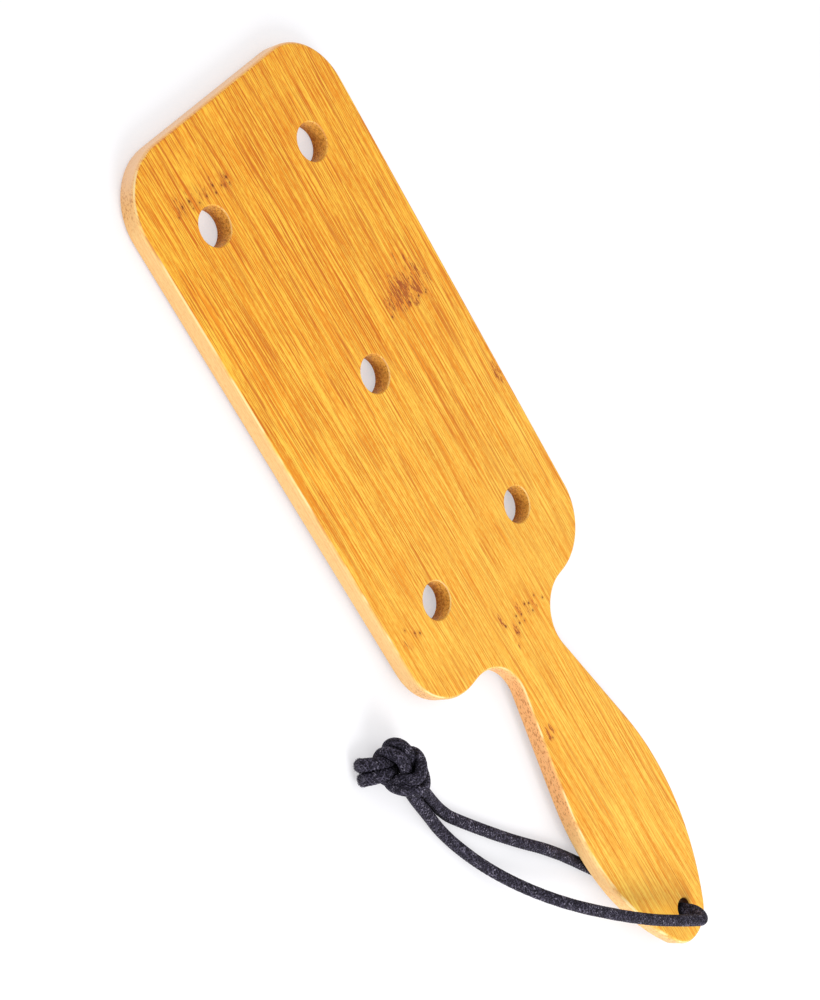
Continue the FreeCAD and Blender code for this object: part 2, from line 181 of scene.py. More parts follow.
def add_floor():
    """A wide white floor at the level that the paddle lies on; it glows only where it is seen."""
    half = FLOOR_HALF_WIDTH
    mesh = bpy.data.meshes.new("floor")
    corners = [(-half, -half, 0), (half, -half, 0), (half, half, 0), (-half, half, 0)]
    mesh.from_pydata(corners, [], [(0, 1, 2, 3)])
    floor = bpy.data.objects.new("floor", mesh)
    bpy.context.scene.collection.objects.link(floor)
    material = bpy.data.materials.new("white_floor")
    nodes = Nodes(material)
    nodes.shader.inputs["Roughness"].default_value = 0.9
    nodes.shader.inputs["Specular IOR Level"].default_value = 0.1
    nodes.shader.inputs["Emission Color"].default_value = FLOOR_GLOW
    path = nodes.add("ShaderNodeLightPath")
    seen = nodes.maths("MAXIMUM", path.outputs["Is Camera Ray"], path.outputs["Is Glossy Ray"])
    seen = nodes.maths("MAXIMUM", seen, path.outputs["Is Transmission Ray"])
    glow = nodes.maths("MULTIPLY", seen, FLOOR_GLOW_SEEN)
    nodes.set(nodes.shader.inputs["Base Color"], nodes.mix(seen, FLOOR_WHITE, FLOOR_SEEN))
    nodes.set(nodes.shader.inputs["Emission Strength"], glow)
    mesh.materials.append(material)


def light_the_stage():
    """Even white surroundings and one large soft light from beyond the handle's end."""
    world = bpy.data.worlds.new("white_room")
    world.use_nodes = True
    background = world.node_tree.nodes["Background"]
    background.inputs["Color"].default_value = WORLD_WHITE
    path = world.node_tree.nodes.new("ShaderNodeLightPath")
    level = world.node_tree.nodes.new("ShaderNodeMapRange")
    level.inputs["To Min"].default_value = WORLD_LEVEL
    level.inputs["To Max"].default_value = WORLD_LEVEL_SEEN
    world.node_tree.links.new(path.outputs["Is Camera Ray"], level.inputs["Value"])
    world.node_tree.links.new(level.outputs["Result"], background.inputs["Strength"])
    bpy.context.scene.world = world
    add_light("key", (-0.42, -0.66, 0.62), distance=0.95, width=0.45, power=4.6)


# Bamboo

DEEP_HONEY = rgb(232, 138, 28)
PALE_HONEY = rgb(253, 195, 78)
ORANGE = rgb(240, 146, 34)
GRAIN_BROWN = rgb(202, 100, 10)
SMEAR_BROWN = rgb(154, 70, 20)
KNUCKLE_ORANGE = rgb(226, 132, 44)
PORE_BROWN = rgb(112, 50, 8)
WALL_CREAM = rgb(255, 209, 140)
WALL_PEACH = rgb(250, 190, 122)
WALL_DEEP = rgb(248, 176, 112)
PAINTED_GLOW_ROSE = rgb(255, 210, 168)
WALL_BROWN = rgb(186, 112, 52)
ARRIS_HIGHLIGHT_CREAM = rgb(255, 236, 176)
HOLE_CRUMB_AND_SHADE = rgb(166, 94, 12)
HOLE_LIGHT = rgb(246, 182, 76)
CORD_HOLE_PAINTED_SHADE = rgb(84, 44, 16)
# What the bamboo is multiplied by, at the tip and along the handle: painted light, paler and
# brighter towards the handle where more light falls
TIP_PAINTED_LIGHT = (0.96, 1.0, 0.66, 1)
HANDLE_PAINTED_LIGHT = (0.95, 1.09, 1.14, 1)

# Pores of each stave's knuckles: place across, place along, radius, in mm
PORES = {
    "left_edge_stave": [(-36.7, -1.8, 0.32), (-35.0, -3.0, 0.36), (-39.4, 1.2, 0.2)],
    "left_stave": [(-29.6, 132.6, 0.36), (-26.6, 132.6, 0.4), (-26.5, 130.4, 0.2),
                   (-23.7, 130.5, 0.26), (-20.5, 130.6, 0.26), (-17.0, 129.7, 0.36),
                   (-16.8, 131.8, 0.4), (-14.0, 130.3, 0.26), (-11.1, 131.2, 0.4),
                   (-11.0, 129.5, 0.22), (-32.5, 131.0, 0.22), (-12.8, -59.9, 0.24),
                   (-11.5, -60.6, 0.24)],
    "centre_stave": [(-5.4, -23.8, 0.4), (0.2, -24.4, 0.34), (0.1, -26.8, 0.36),
                     (2.3, -25.4, 0.36), (2.2, -27.6, 0.24), (5.5, -24.0, 0.4),
                     (7.2, -25.0, 0.4), (7.2, -27.7, 0.34), (10.6, -24.7, 0.26),
                     (13.2, -27.5, 0.32), (-2.6, -28.3, 0.3)],
    "right_stave": [(16.8, 69.6, 0.36), (25.8, 68.9, 0.38), (30.0, 68.5, 0.36),
                    (33.4, 67.7, 0.32), (34.0, 68.2, 0.26), (28.0, 67.2, 0.24)],
    "right_handle_stave": [],
    "right_edge_stave": [],
}
# Brown smears of the knuckles: place across and along, half width, half length, strength
SMEARS = {
    "left_edge_stave": [(-42.0, -2.0, 1.0, 2.4, 0.35), (-40.3, -3.4, 1.2, 2.0, 0.45),
                        (-36.9, -1.4, 1.0, 2.6, 0.3)],
    "left_stave": [(-30.5, 133.5, 3.0, 4.2, 0.34), (-22.0, 132.5, 9.0, 4.4, 0.26),
                   (-12.0, 130.5, 2.8, 3.6, 0.34), (-17.0, 133.0, 1.4, 3.2, 0.32),
                   (-26.3, 133.6, 1.0, 2.6, 0.34), (-12.2, -58.6, 1.0, 3.0, 0.8),
                   (-10.2, -58.2, 0.8, 2.6, 0.7)],
    "centre_stave": [(-6.0, -21.5, 0.9, 3.4, 0.6), (-2.4, -27.0, 1.2, 3.4, 0.65),
                     (2.4, -23.2, 1.2, 2.6, 0.55), (8.9, -27.0, 1.2, 2.4, 0.45),
                     (5.6, -26.0, 0.8, 3.0, 0.4), (-4.6, -30.0, 1.0, 3.6, 0.4)],
    "right_stave": [(27.0, 73.0, 11.5, 6.5, 0.62), (31.1, 70.8, 1.7, 3.8, 1.0),
                    (22.7, 72.0, 1.2, 4.6, 0.85), (20.6, 71.0, 0.8, 3.2, 0.6),
                    (17.6, 72.4, 1.2, 4.2, 0.6), (26.4, 72.6, 1.6, 4.6, 0.75),
                    (28.3, 73.6, 1.2, 4.0, 0.75), (34.0, 74.6, 1.2, 4.8, 0.7),
                    (37.0, 71.2, 1.6, 3.6, 0.5), (28.4, 67.6, 2.0, 1.6, 0.6),
                    (34.8, 66.8, 1.2, 2.6, 0.45), (23.4, 77.8, 1.4, 4.0, 0.4),
                    (28.6, 81.0, 1.2, 4.6, 0.4), (32.6, 78.6, 1.0, 3.6, 0.35),
                    (20.6, 80.0, 1.0, 3.4, 0.25)],
    "right_handle_stave": [],
    "right_edge_stave": [(43.2, 33.6, 1.8, 4.6, 0.6)],
}
# Each stave's own place in the grain
GRAIN_PLACE = {
    "left_edge_stave": 3.1,
    "left_stave": 11.7,
    "centre_stave": 23.9,
    "right_stave": 37.3,
    "right_handle_stave": 51.1,
    "right_edge_stave": 64.5,
}
# Grain: noise scale, detail and strength, from broad bands to single fibres
GRAIN = [
    ((0.14, 0.002, 0.2), 1.0, 0.32),
    ((0.60, 0.003, 0.6), 1.0, 0.22),
    ((1.40, 0.004, 1.4), 1.0, 0.42),
    ((2.80, 0.006, 2.8), 0.0, 2.80),
    ((3.40, 0.450, 3.4), 2.0, 2.60),
]
CORD_HOLE = (0, -139.4, 0)
CORD_HOLE_RADIUS = 3.1
AIR_HOLES = [(-23.4, 123.0), (23.4, 123.0), (0, 61.2), (-23.4, -0.6), (23.4, -0.6)]
AIR_HOLE_RADIUS = 5.6
NECK_ALONG = -62.0
# The upper face: its level at the board's middle, and its fall towards the tip
FACE_LEVEL = 8.32
FACE_FALL = 0.0156
PORE_STRETCH = 0.75


def pore_masks(nodes, place, pores):
    """Small dark dots and the brown round them, both drawn out along the grain."""
    flat = nodes.stretched(place, (1, PORE_STRETCH, 0))
    nearest = None
    for across, along, radius in pores:
        distance = nodes.distance_to(flat, (across, PORE_STRETCH * along, 0))
        outside = nodes.maths("SUBTRACT", distance, 0.8 * radius)
        nearest = outside if nearest is None else nodes.maths("MINIMUM", nearest, outside)
    return nodes.ramp(nearest, 0.10, -0.12), nodes.ramp(nearest, 0.75, 0.05, 0.0, 0.30)


def smear_mask(nodes, place, smears):
    """Ragged brown patches, drawn out along the grain."""
    total = None
    for across, along, half_width, half_length, strength in smears:
        inside = nodes.stretched(place, (1 / half_width, 1 / half_length, 0),
                                 (-across / half_width, -along / half_length, 0))
        length = nodes.add("ShaderNodeVectorMath", {"operation": "LENGTH"})
        nodes.set(length.inputs[0], inside)
        patch = nodes.ramp(length.outputs["Value"], 1.25, 0.35, 0.0, strength)
        total = patch if total is None else nodes.maths("MAXIMUM", total, patch)
    return total


def from_air_hole(nodes, flat):
    """Distance in mm, seen from above, to the axis of the nearest air hole."""
    nearest = None
    for across, along in AIR_HOLES:
        distance = nodes.distance_to(flat, (across, along, 0))
        nearest = distance if nearest is None else nodes.maths("MINIMUM", nearest, distance)
    return nearest


def along_the_grain(nodes, straight, parts, seed):
    """The place in mm, pushed a little sideways so that the grain drifts."""
    drift = nodes.noise(nodes.stretched(straight, (0.05, 0.012, 0.05), (seed, 0, 0)), 1.0)
    across = nodes.maths("ADD", parts.outputs["X"], nodes.maths("SUBTRACT", drift, 0.5))
    joined = nodes.add("ShaderNodeCombineXYZ", X=across, Y=parts.outputs["Y"], Z=parts.outputs["Z"])
    return joined.outputs[0]


def grain_level(nodes, place, seed, contrast):
    """From deep honey at 0 to pale honey at 1."""
    level = None
    for number, (scale, detail, strength) in enumerate(GRAIN):
        value = nodes.noise(nodes.stretched(place, scale, (seed, 3.7 * number, 0)), detail, 0.6)
        push = nodes.maths("SUBTRACT", value, 0.5)
        push = nodes.maths("MULTIPLY", nodes.maths("MULTIPLY", push, strength), contrast)
        level = push if level is None else nodes.maths("ADD", level, push)
    return nodes.maths("ADD", level, 0.52, clamp=True)


def grain_colour(nodes, place, seed, level, contrast):
    """The honey of the grain, with brown lines and finer brown hairs."""
    warm = nodes.noise(nodes.stretched(place, (0.22, 0.005, 0.22), (0, 9, seed)), 2.0)
    deep = nodes.mix(nodes.ramp(warm, 0.40, 0.62), DEEP_HONEY, ORANGE)
    colour = nodes.mix(level, deep, PALE_HONEY)
    lines = nodes.noise(nodes.stretched(place, (2.4, 0.004, 2.4), (seed, seed, 0)), 1.0)
    lines = nodes.maths("MULTIPLY", nodes.ramp(lines, 0.61, 0.65, 0.0, 0.60), contrast)
    colour = nodes.mix(lines, colour, GRAIN_BROWN)
    hair = nodes.noise(nodes.stretched(place, (3.4, 0.006, 3.4), (0, seed, seed)), 0.0)
    hair = nodes.maths("MULTIPLY", nodes.ramp(hair, 0.58, 0.65, 0.0, 0.8), contrast)
    return nodes.mix(hair, colour, GRAIN_BROWN)


def with_glue_lines(nodes, name, parts, colour):
    """Darkens the stave's two long sides, where it is glued to its neighbours."""
    low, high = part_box(name)
    middle = (low.x + high.x) / 2 / MM
    reach = (high.x - low.x) / 2 / MM
    from_middle = nodes.maths("ABSOLUTE", nodes.maths("SUBTRACT", parts.outputs["X"], middle))
    seam = nodes.ramp(from_middle, reach - 0.20, reach - 0.02, 0.0, 0.30)
    return nodes.mix(seam, colour, GRAIN_BROWN)


def with_smears(nodes, place, seed, smears, colour):
    """Knuckles' orange patches with crisp brown dashes in them."""
    smear = smear_mask(nodes, place, smears)
    ragged = nodes.noise(nodes.stretched(place, (2.6, 0.30, 0.9), (0, seed, 0)), 2.0, 0.7)
    colour = nodes.mix(nodes.maths("MULTIPLY", smear, 0.55), colour, KNUCKLE_ORANGE)
    dashes = nodes.maths("ADD", ragged, nodes.maths("MULTIPLY", smear, 0.15))
    inside = nodes.ramp(smear, 0.05, 0.4, 0.0, 0.85)
    dashes = nodes.maths("MULTIPLY", nodes.ramp(dashes, 0.585, 0.63), inside)
    return nodes.mix(dashes, colour, SMEAR_BROWN)


def wall_finish(nodes, straight, parts, normal, level, depth, seed):
    """Sawn walls: pale along the sides, peach and speckled where the fibres are cut across, with a
    painted glow in pale rose where they face the tip.
    """
    cut_across = nodes.ramp(nodes.maths("ABSOLUTE", normal.outputs["Y"]), 0.06, 0.55)
    colour = nodes.mix(nodes.ramp(level, 0.25, 0.75, 0.55, 0.0), WALL_CREAM, WALL_PEACH)
    colour = nodes.mix(nodes.maths("MULTIPLY", cut_across, 0.6), colour, WALL_PEACH)
    from_neck = nodes.maths("ABSOLUTE", nodes.maths("SUBTRACT", parts.outputs["Y"], NECK_ALONG))
    neck = nodes.ramp(from_neck, 36, 16)
    colour = nodes.mix(nodes.maths("MULTIPLY", neck, 0.7), colour, WALL_DEEP)
    speckle = nodes.noise(nodes.stretched(straight, (1.7, 0.7, 1.7), (0, 0, seed)), 2.0, 0.75)
    amount = nodes.maths("MAXIMUM", nodes.maths("MULTIPLY", cut_across, 0.5),
                         nodes.maths("MULTIPLY", neck, 0.6))
    amount = nodes.maths("MULTIPLY", nodes.ramp(speckle, 0.52, 0.60),
                         nodes.maths("ADD", amount, 0.12))
    colour = nodes.mix(amount, colour, WALL_BROWN)
    # Painted glow: walls that face the tip are mixed towards pale rose
    tip_painted_glow = nodes.ramp(normal.outputs["Y"], 0.45, 0.90, 0.0, 0.85)
    colour = nodes.mix(tip_painted_glow, colour, PAINTED_GLOW_ROSE)
    return nodes.mix(nodes.ramp(depth, 3.6, 6.4, 0.0, 0.35), colour, WALL_PEACH)


def hole_finish(nodes, straight, depth, seed):
    """Crumbly walls of the air holes, with painted shade that darkens them further down."""
    # Painted shade: from the rim colour near the top to dark brown deeper down the hole
    colour = nodes.mix(nodes.ramp(depth, 0.6, 6.0), HOLE_LIGHT, HOLE_CRUMB_AND_SHADE)
    crumbs = nodes.noise(nodes.stretched(straight, (1.9, 1.2, 1.9), (seed, 0, 0)), 3.0, 0.8)
    colour = nodes.mix(nodes.ramp(crumbs, 0.51, 0.57, 0.0, 0.75), colour, HOLE_CRUMB_AND_SHADE)
    return nodes.mix(nodes.ramp(crumbs, 0.48, 0.42, 0.0, 0.6), colour, HOLE_LIGHT)


def with_painted_edge_highlights(nodes, straight, normal, seed, in_hole, to_cord_hole, colour):
    """Painted highlights: a broken pale line on the rounded upper edge, and an even one at the tip's
    side.
    """
    # Painted highlight: the rounded upper edge turns pale cream where it faces the light's side
    # (-X), broken up by noise, kept off the cord hole and faint in the air holes
    edge_highlight = nodes.ramp(normal.outputs["Z"], 0.50, 0.70)
    edge_highlight = nodes.maths("MULTIPLY", edge_highlight, nodes.ramp(normal.outputs["Z"], 0.95, 0.82))
    edge_highlight = nodes.maths("MULTIPLY", edge_highlight, nodes.ramp(normal.outputs["X"], 0.02, -0.40))
    broken = nodes.noise(nodes.stretched(straight, (0.12, 0.12, 0.12), (seed, 5, 0)), 1.0)
    edge_highlight = nodes.maths("MULTIPLY", edge_highlight, nodes.ramp(broken, 0.40, 0.58, 0.15, 0.75))
    away = nodes.ramp(to_cord_hole, CORD_HOLE_RADIUS + 1.3, CORD_HOLE_RADIUS + 1.7)
    away = nodes.maths("MULTIPLY", away, nodes.ramp(in_hole, 0.0, 1.0, 1.0, 0.4))
    colour = nodes.mix(nodes.maths("MULTIPLY", edge_highlight, away), colour, ARRIS_HIGHLIGHT_CREAM)
    # Painted glow: the rounded edge that faces the tip is mixed towards pale rose, but not in the
    # air holes
    far_edge_painted_glow = nodes.maths("MULTIPLY", nodes.ramp(normal.outputs["Y"], 0.25, 0.65, 0.0, 0.45),
                           nodes.ramp(normal.outputs["Z"], 0.45, 0.75))
    far_edge_painted_glow = nodes.maths("MULTIPLY", far_edge_painted_glow, nodes.ramp(in_hole, 0.0, 1.0, 1.0, 0.0))
    return nodes.mix(far_edge_painted_glow, colour, PAINTED_GLOW_ROSE)


def bamboo(name):
    """One stave's oiled bamboo: straight grain along the board, knuckles, speckled end grain."""
    seed = GRAIN_PLACE[name]
    material = bpy.data.materials.new(f"bamboo_{name}")
    nodes = Nodes(material)
    coordinates = nodes.add("ShaderNodeTexCoord")
    straight = nodes.stretched(coordinates.outputs["Object"], IN_MM)
    flat = nodes.stretched(straight, (1, 1, 0))
    parts = nodes.add("ShaderNodeSeparateXYZ", Vector=straight)
    normal = nodes.add("ShaderNodeSeparateXYZ", Vector=coordinates.outputs["Normal"])
    place = along_the_grain(nodes, straight, parts, seed)

    # The faces
    contrast = nodes.ramp(parts.outputs["Y"], -30, 90, 0.62, 1.0)
    level = grain_level(nodes, place, seed, contrast)
    colour = grain_colour(nodes, place, seed, level, contrast)
    # Painted light: the colour grows paler and brighter from the tip towards the handle
    painted_light = nodes.mix(nodes.ramp(parts.outputs["Y"], 125, -30), TIP_PAINTED_LIGHT, HANDLE_PAINTED_LIGHT)
    colour = nodes.mix(1.0, colour, painted_light, "MULTIPLY")
    colour = with_glue_lines(nodes, name, parts, colour)
    height = nodes.maths("MULTIPLY", level, 0.4)
    if SMEARS[name]:
        colour = with_smears(nodes, place, seed, SMEARS[name], colour)
    if PORES[name]:
        pores, halo = pore_masks(nodes, place, PORES[name])
        colour = nodes.mix(halo, colour, SMEAR_BROWN)
        colour = nodes.mix(nodes.maths("MULTIPLY", pores, 0.9), colour, PORE_BROWN)
        height = nodes.maths("SUBTRACT", height, nodes.maths("MULTIPLY", pores, 0.3))

    # The walls, outside and in the holes; depth is in mm under the upper face
    face = nodes.maths("ADD", nodes.maths("MULTIPLY", parts.outputs["Y"], FACE_FALL),
                       parts.outputs["Z"])
    depth = nodes.maths("SUBTRACT", FACE_LEVEL, face)
    walls = wall_finish(nodes, straight, parts, normal, level, depth, seed)
    in_hole = nodes.ramp(from_air_hole(nodes, flat), AIR_HOLE_RADIUS + 0.55, AIR_HOLE_RADIUS + 0.25)
    walls = nodes.mix(in_hole, walls, hole_finish(nodes, straight, depth, seed))
    to_cord_hole = nodes.distance_to(flat, CORD_HOLE)
    # Painted shade: the wall inside the cord hole is made dark brown
    in_cord_hole = nodes.ramp(to_cord_hole, CORD_HOLE_RADIUS + 0.6, CORD_HOLE_RADIUS + 0.2)
    walls = nodes.mix(in_cord_hole, walls, CORD_HOLE_PAINTED_SHADE)
    wall = nodes.ramp(nodes.maths("ABSOLUTE", normal.outputs["Z"]), 0.86, 0.40)
    colour = nodes.mix(wall, colour, walls)
    colour = with_painted_edge_highlights(nodes, straight, normal, seed, in_hole, to_cord_hole, colour)

    nodes.set(nodes.shader.inputs["Base Color"], colour)
    nodes.set(nodes.shader.inputs["Roughness"], nodes.ramp(level, 0.2, 0.8, 0.50, 0.40))
    nodes.shader.inputs["Specular IOR Level"].default_value = 0.25
    nodes.surface_bump(height, 0.10 * MM, 0.5)
    return material


def dress_staves():
    """Each stave keeps its solid and gets its own bamboo."""
    for name in GRAIN_PLACE:
        material = bamboo(name)
        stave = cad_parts[name]
        stave.data.materials.clear()
        stave.data.materials.append(material)


# Cord

CORD_DIAMETER = 3.5 * MM
# Level of the cord's middle in mm where it lies on the table
CORD_ON_TABLE = 1.83

# The knot's own frame: across to its collar, along to the top of its arcs, front out of them
KNOT_CENTRE = Vector((-64.8, -26.7, 8.4))
KNOT_ACROSS = Vector((0.513, -0.462, 0.723))
KNOT_ALONG = Vector((0.577, 0.809, 0.108))
KNOT_FRONT = Vector((-0.635, 0.362, 0.683))


def in_knot(across, along, front):
    """A point of the knot's frame, given in cord diameters, in mm."""
    place = KNOT_ACROSS * across + KNOT_ALONG * along + KNOT_FRONT * front
    return tuple(KNOT_CENTRE + place * (CORD_DIAMETER / MM))


HOLE_MIDDLE = (CORD_HOLE[0], CORD_HOLE[1], 7.3)
OVER_HANDLE = [
    HOLE_MIDDLE,
    (0, -139.4, 10.8),
    (0.7, -141.2, 14.4),
    (-2.3, -141.8, 17.8),
    (-6.4, -138.2, 18.8),
    (-12.8, -132.2, 18.0),
    (-20.6, -124.6, 17.2),
    (-31.0, -112.6, 15.0),
    (-40.8, -99.4, 10.6),
    (-48.2, -86.2, 6.0),
    (-53.8, -73.4, 2.8),
    (-58.2, -61.2, CORD_ON_TABLE),
    (-60.5, -52.7, CORD_ON_TABLE),
    in_knot(2.0, -4.38, -3.6),
    in_knot(1.34, -3.42, -2.45),
    in_knot(0.72, -2.5, -1.5),
]
UNDER_HANDLE = [
    HOLE_MIDDLE,
    (0, -139.4, 4.2),
    (-1.2, -137.25, CORD_ON_TABLE),
    (-4.0, -132.0, CORD_ON_TABLE),
    (-9.0, -122.0, CORD_ON_TABLE),
    (-17.4, -107.4, CORD_ON_TABLE),
    (-27.6, -90.6, CORD_ON_TABLE),
    (-38.8, -76.6, CORD_ON_TABLE),
    (-48.6, -62.6, CORD_ON_TABLE),
    (-54.4, -53.8, CORD_ON_TABLE),
    in_knot(3.3, -4.42, -5.5),
    in_knot(2.54, -3.66, -4.4),
    in_knot(1.82, -2.55, -2.65),
]
INNER_STRAND = [
    in_knot(0.23, -1.569, -0.52),
    in_knot(0.15, -0.5, 0.2),
    in_knot(0.05, 0.35, 0.95),
    in_knot(-0.4, 1.05, 1.15),
    in_knot(-1.2, 1.3, 0.6),
    in_knot(-1.92, 1.05, -0.3),
    in_knot(-2.1, 0.35, -0.65),
    in_knot(-1.95, -0.45, -0.65),
    in_knot(-1.5, -1.0, -0.4),
    in_knot(-0.75, -0.92, 0.1),
    in_knot(0.0, -0.84, 0.85),
    in_knot(0.9, -0.82, 1.05),
    in_knot(1.27, -0.35, 0.75),
    in_knot(1.3, 0.35, 0.2),
    in_knot(1.0, 0.98, -0.25),
    in_knot(0.5, 1.22, -0.6),
    in_knot(0.1, 0.85, -0.9),
    in_knot(-0.4, 0.2, -0.5),
    in_knot(-0.95, -0.2, 0.15),
    in_knot(-1.6, -0.42, 0.75),
    in_knot(-2.4, -0.67, 0.95),
    in_knot(-3.5, -0.82, 1.1),
]
OUTER_STRAND = [
    in_knot(1.46, -1.995, -1.775),
    in_knot(0.85, -0.65, -0.9),
    in_knot(0.45, 0.2, -0.15),
    in_knot(0.38, 0.95, 0.4),
    in_knot(-0.02, 1.7, 0.5),
    in_knot(-0.75, 1.98, 0.15),
    in_knot(-1.4, 1.58, -0.8),
    in_knot(-1.15, 0.75, -1.5),
    in_knot(-1.05, -0.3, -1.5),
    in_knot(-1.25, -1.0, -1.1),
    in_knot(-1.0, -1.45, -0.3),
    in_knot(-0.1, -1.58, 1.0),
    in_knot(0.75, -1.65, 1.1),
    in_knot(1.5, -1.6, 0.3),
    in_knot(1.57, -0.9, -0.4),
    in_knot(1.2, 0.1, -1.1),
    in_knot(0.6, 0.8, -1.8),
    in_knot(0.1, 1.25, -1.45),
    in_knot(-0.5, 0.95, -0.6),
    in_knot(-1.15, 0.5, 0.35),
    in_knot(-2.3, 0.37, 0.9),
    in_knot(-3.75, 0.3, 1.2),
]


# Points of a line that are nearer than this count as one
SAME_POINT = 0.02 * MM


def centreline(name, route):
    """Points along the smooth line that a route's points control, in metres."""
    curve = bpy.data.curves.new(name, "CURVE")
    curve.dimensions = "3D"
    curve.resolution_u = 32
    spline = curve.splines.new("NURBS")
    spline.points.add(len(route) - 1)
    for point, place in zip(spline.points, route):
        point.co = (*(Vector(place) * MM), 1)
    spline.order_u = 3
    spline.use_endpoint_u = True
    holder = bpy.data.objects.new(name, curve)
    bpy.context.scene.collection.objects.link(holder)
    bpy.context.view_layer.update()
    mesh = bpy.data.meshes.new_from_object(holder)
    points = np.array([vertex.co for vertex in mesh.vertices])
    bpy.data.objects.remove(holder)
    bpy.data.curves.remove(curve)
    bpy.data.meshes.remove(mesh)
    apart = np.linalg.norm(np.diff(points, axis=0), axis=1)
    return points[np.concatenate([[True], apart > SAME_POINT])]


# Faces round the cord, strands each way in its plait, and the length of one plait's turn
AROUND = 40
STRANDS = 8
PLAIT_PITCH = 8.6 * MM
# The plait's hollows and how far its crowns rise, as shares of the cord's radius
PLAIT_LOW = 0.91
PLAIT_RISE = 0.12
# Length round the cord, in mm
CORD_GIRTH = 11.0
# How far apart walls can be and still shade the crevice between them
CREVICE_WIDTH = 3.2 * MM
# Nothing of the cord is lower than this
LOWEST = 0.04 * MM

# The cords' colours
CORD_GROOVE_SHADE = rgb(12, 10, 17)
CORD_CROWN = rgb(36, 32, 47)
YARN_LIGHT = rgb(92, 88, 106)
YARN_DARK = rgb(10, 8, 14)
WAX_FLECK = rgb(172, 166, 186)
CREVICE = rgb(3, 2, 5)
FRAY_DARK = rgb(46, 43, 54)
FRAY_LIGHT = rgb(130, 126, 140)


def turned_frames(points):
    """Two directions square to the line at each of its points, with no twist."""
    tangents = np.gradient(points, axis=0)
    tangents /= np.linalg.norm(tangents, axis=1)[:, None]
    side = np.cross(tangents[0], (0.3, 1.0, 0.2))
    sides = []
    for tangent in tangents:
        side = side - tangent * np.dot(side, tangent)
        side = side / np.linalg.norm(side)
        sides.append(side)
    sides = np.array(sides)
    return tangents, sides, np.cross(tangents, sides)


def plait_height(turn, length):
    """Height of the plait, 0 to 1, at a turn round the cord (0 to 1) and a length along it."""
    one = np.sin(math.pi * (STRANDS * turn + STRANDS * length / PLAIT_PITCH)) ** 2
    other = np.sin(math.pi * (STRANDS * turn - STRANDS * length / PLAIT_PITCH)) ** 2
    return np.maximum(one, other)


def cord_mesh(name, points, radius):
    """A plaited cord round a line; its UV map has turns across and metres along."""
    tangents, sides, others = turned_frames(points)
    lengths = np.concatenate([[0], np.cumsum(np.linalg.norm(np.diff(points, axis=0), axis=1))])
    turns = np.arange(AROUND) / AROUND
    angle = 2 * math.pi * turns
    height = plait_height(turns[None, :], lengths[:, None])
    reach = radius(lengths)[:, None] * (PLAIT_LOW + PLAIT_RISE * height)
    ring = (np.cos(angle)[None, :, None] * sides[:, None, :]
            + np.sin(angle)[None, :, None] * others[:, None, :])
    vertices = points[:, None, :] + reach[:, :, None] * ring
    vertices[:, :, 2] = np.maximum(vertices[:, :, 2], LOWEST)
    rows = len(points)
    faces = []
    uvs = []
    for row in range(rows - 1):
        for step in range(AROUND):
            after = (step + 1) % AROUND
            faces.append((row * AROUND + step, row * AROUND + after,
                          (row + 1) * AROUND + after, (row + 1) * AROUND + step))
            low, high = step / AROUND, (step + 1) / AROUND
            uvs += [(low, lengths[row]), (high, lengths[row]),
                    (high, lengths[row + 1]), (low, lengths[row + 1])]
    faces.append(tuple(range(AROUND - 1, -1, -1)))
    faces.append(tuple((rows - 1) * AROUND + step for step in range(AROUND)))
    uvs += [(step / AROUND, 0) for step in range(AROUND - 1, -1, -1)]
    uvs += [(step / AROUND, lengths[-1]) for step in range(AROUND)]
    mesh = bpy.data.meshes.new(name)
    mesh.from_pydata(vertices.reshape(-1, 3).tolist(), [], faces)
    layer = mesh.uv_layers.new(name="cord")
    layer.data.foreach_set("uv", np.array(uvs, float).ravel())
    mesh.polygons.foreach_set("use_smooth", [True] * len(mesh.polygons))
    piece = bpy.data.objects.new(name, mesh)
    bpy.context.scene.collection.objects.link(piece)
    return piece, lengths[-1]


